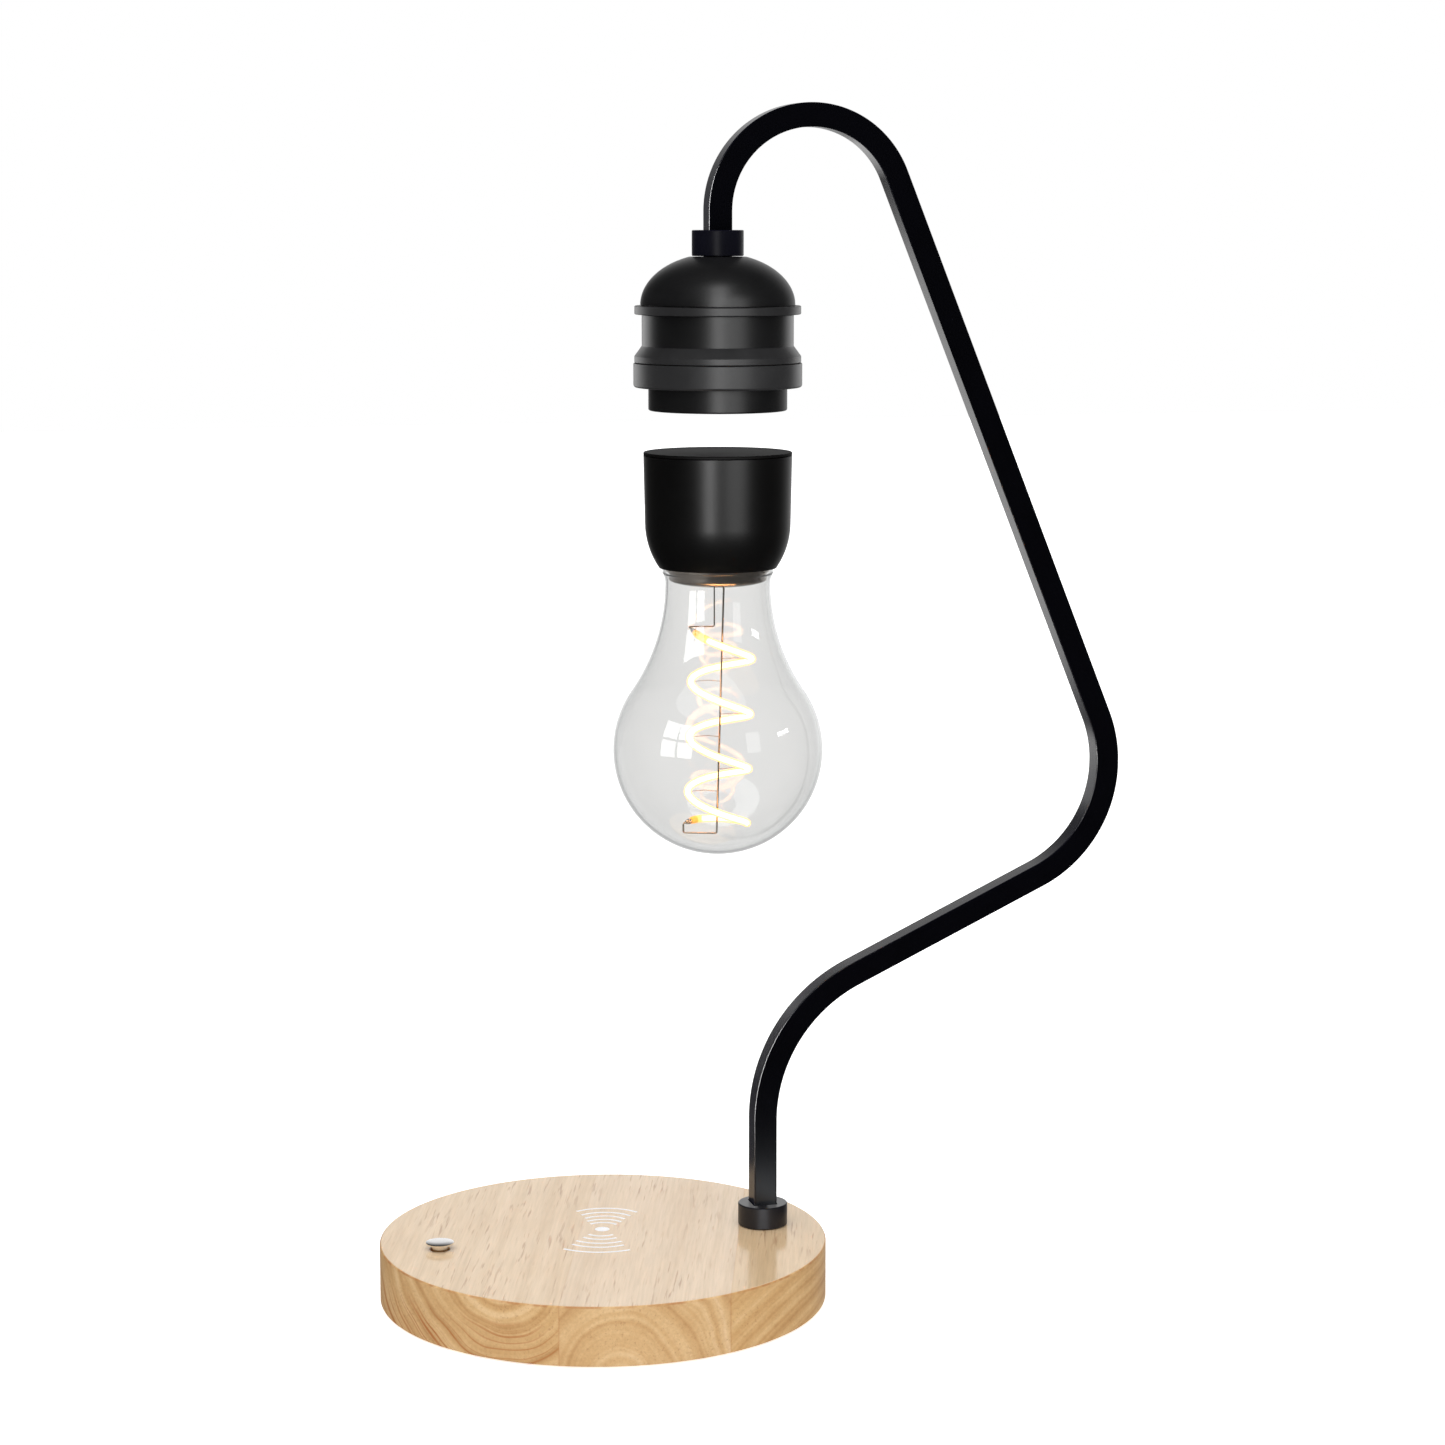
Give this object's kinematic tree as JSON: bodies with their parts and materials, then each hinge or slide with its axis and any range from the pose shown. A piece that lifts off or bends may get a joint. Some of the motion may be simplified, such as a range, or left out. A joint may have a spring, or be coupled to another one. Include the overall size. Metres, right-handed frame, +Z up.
{
  "type": "levitating lamp",
  "caption": "Desk lamp whose light bulb floats and turns below a magnet head on a bent square arm, on a round wooden base with a push button and a wireless charger.",
  "frame": {"origin": "centre of the round base, on the surface it stands on", "axes": "+Z up, +X from the push button to the foot of the arm, in the arm's plane, +Y to the rear, where the power socket is"},
  "size_m": [0.2203, 0.129, 0.3416],
  "materials": {
    "pale_wood": "laminated blocks, sanded and waxed, satin",
    "black_metal": "satin black powder coat",
    "black_plastic": "moulded, satin black",
    "dark_plastic": "moulded, smooth black",
    "chrome": "polished",
    "mirrored_plate": "bright",
    "nickel_magnet": "nickel-plated magnet",
    "steel": "plain steel",
    "rubber": "matt black foam rubber",
    "board_green": "green solder mask",
    "copper": "enamelled copper wire",
    "ferrite": "pressed ferrite sheet",
    "clear_glass": "clear blown glass",
    "glowing_filament": "phosphor-coated light strip, emissive"
  },
  "bodies": {
    "stand": {"wood_base": "pale_wood", "arm_tube": "black_metal", "foot_collar": "black_metal", "head_ferrule": "black_metal", "head_dome": "black_metal", "head_flange": "black_metal", "head_shell": "black_metal", "head_collar": "black_metal", "head_face_cup": "dark_plastic", "coil_bobbin": "dark_plastic", "tact_switch": "dark_plastic", "power_socket": "dark_plastic", "arm_lead": "dark_plastic", "socket_lead": "dark_plastic", "bias_magnet": "nickel_magnet", "bottom_plate": "steel", "plate_screw_1": "steel", "plate_screw_2": "steel", "plate_screw_3": "steel", "plate_screw_4": "steel", "board_spacer_1": "steel", "board_spacer_2": "steel", "board_spacer_3": "steel", "board_spacer_4": "steel", "socket_pin": "steel", "foot_washer": "steel", "foot_nut": "steel", "ferrule_washer": "steel", "ferrule_nut": "steel", "iron_core": "steel", "base_pad": "rubber", "control_board": "board_green", "sensor_board": "board_green", "driver_board": "board_green", "charging_coil": "copper", "coil_lead": "copper", "power_coil": "copper", "lift_coil": "copper", "ferrite_sheet": "ferrite"},
    "button": {"power_button": "chrome", "button_clip": "steel", "switch_plunger": "dark_plastic"},
    "float": {"float_magnet": "nickel_magnet"},
    "bulb": {"bulb_cap": "black_plastic", "cap_lid": "black_plastic", "magnet_carrier": "black_plastic", "receiver_coil": "copper", "receiver_board": "board_green", "stem_plate": "mirrored_plate", "glass_bulb": "clear_glass", "mast_wire": "steel", "lead_wire": "steel", "filament": "glowing_filament", "filament_tip_top": "steel", "filament_tip_bottom": "steel"}
  },
  "joints": [
    {"name": "button_press", "type": "slide", "parent": "stand", "child": "button", "axis": [0, 0, -1], "range_m": [0, 0.001], "stiffness_N_per_m": 1500},
    {"name": "float_height", "type": "slide", "parent": "stand", "child": "float", "axis": [0, 0, 1], "range_m": [-0.045, 0.0113], "stiffness_N_per_m": 100, "springref_m": 0.01022},
    {"name": "bulb_spin", "type": "hinge", "parent": "float", "child": "bulb", "pos_m": [0.03443, 0, 0.2444], "axis": [0, 0, 1], "continuous": true}
  ]
}
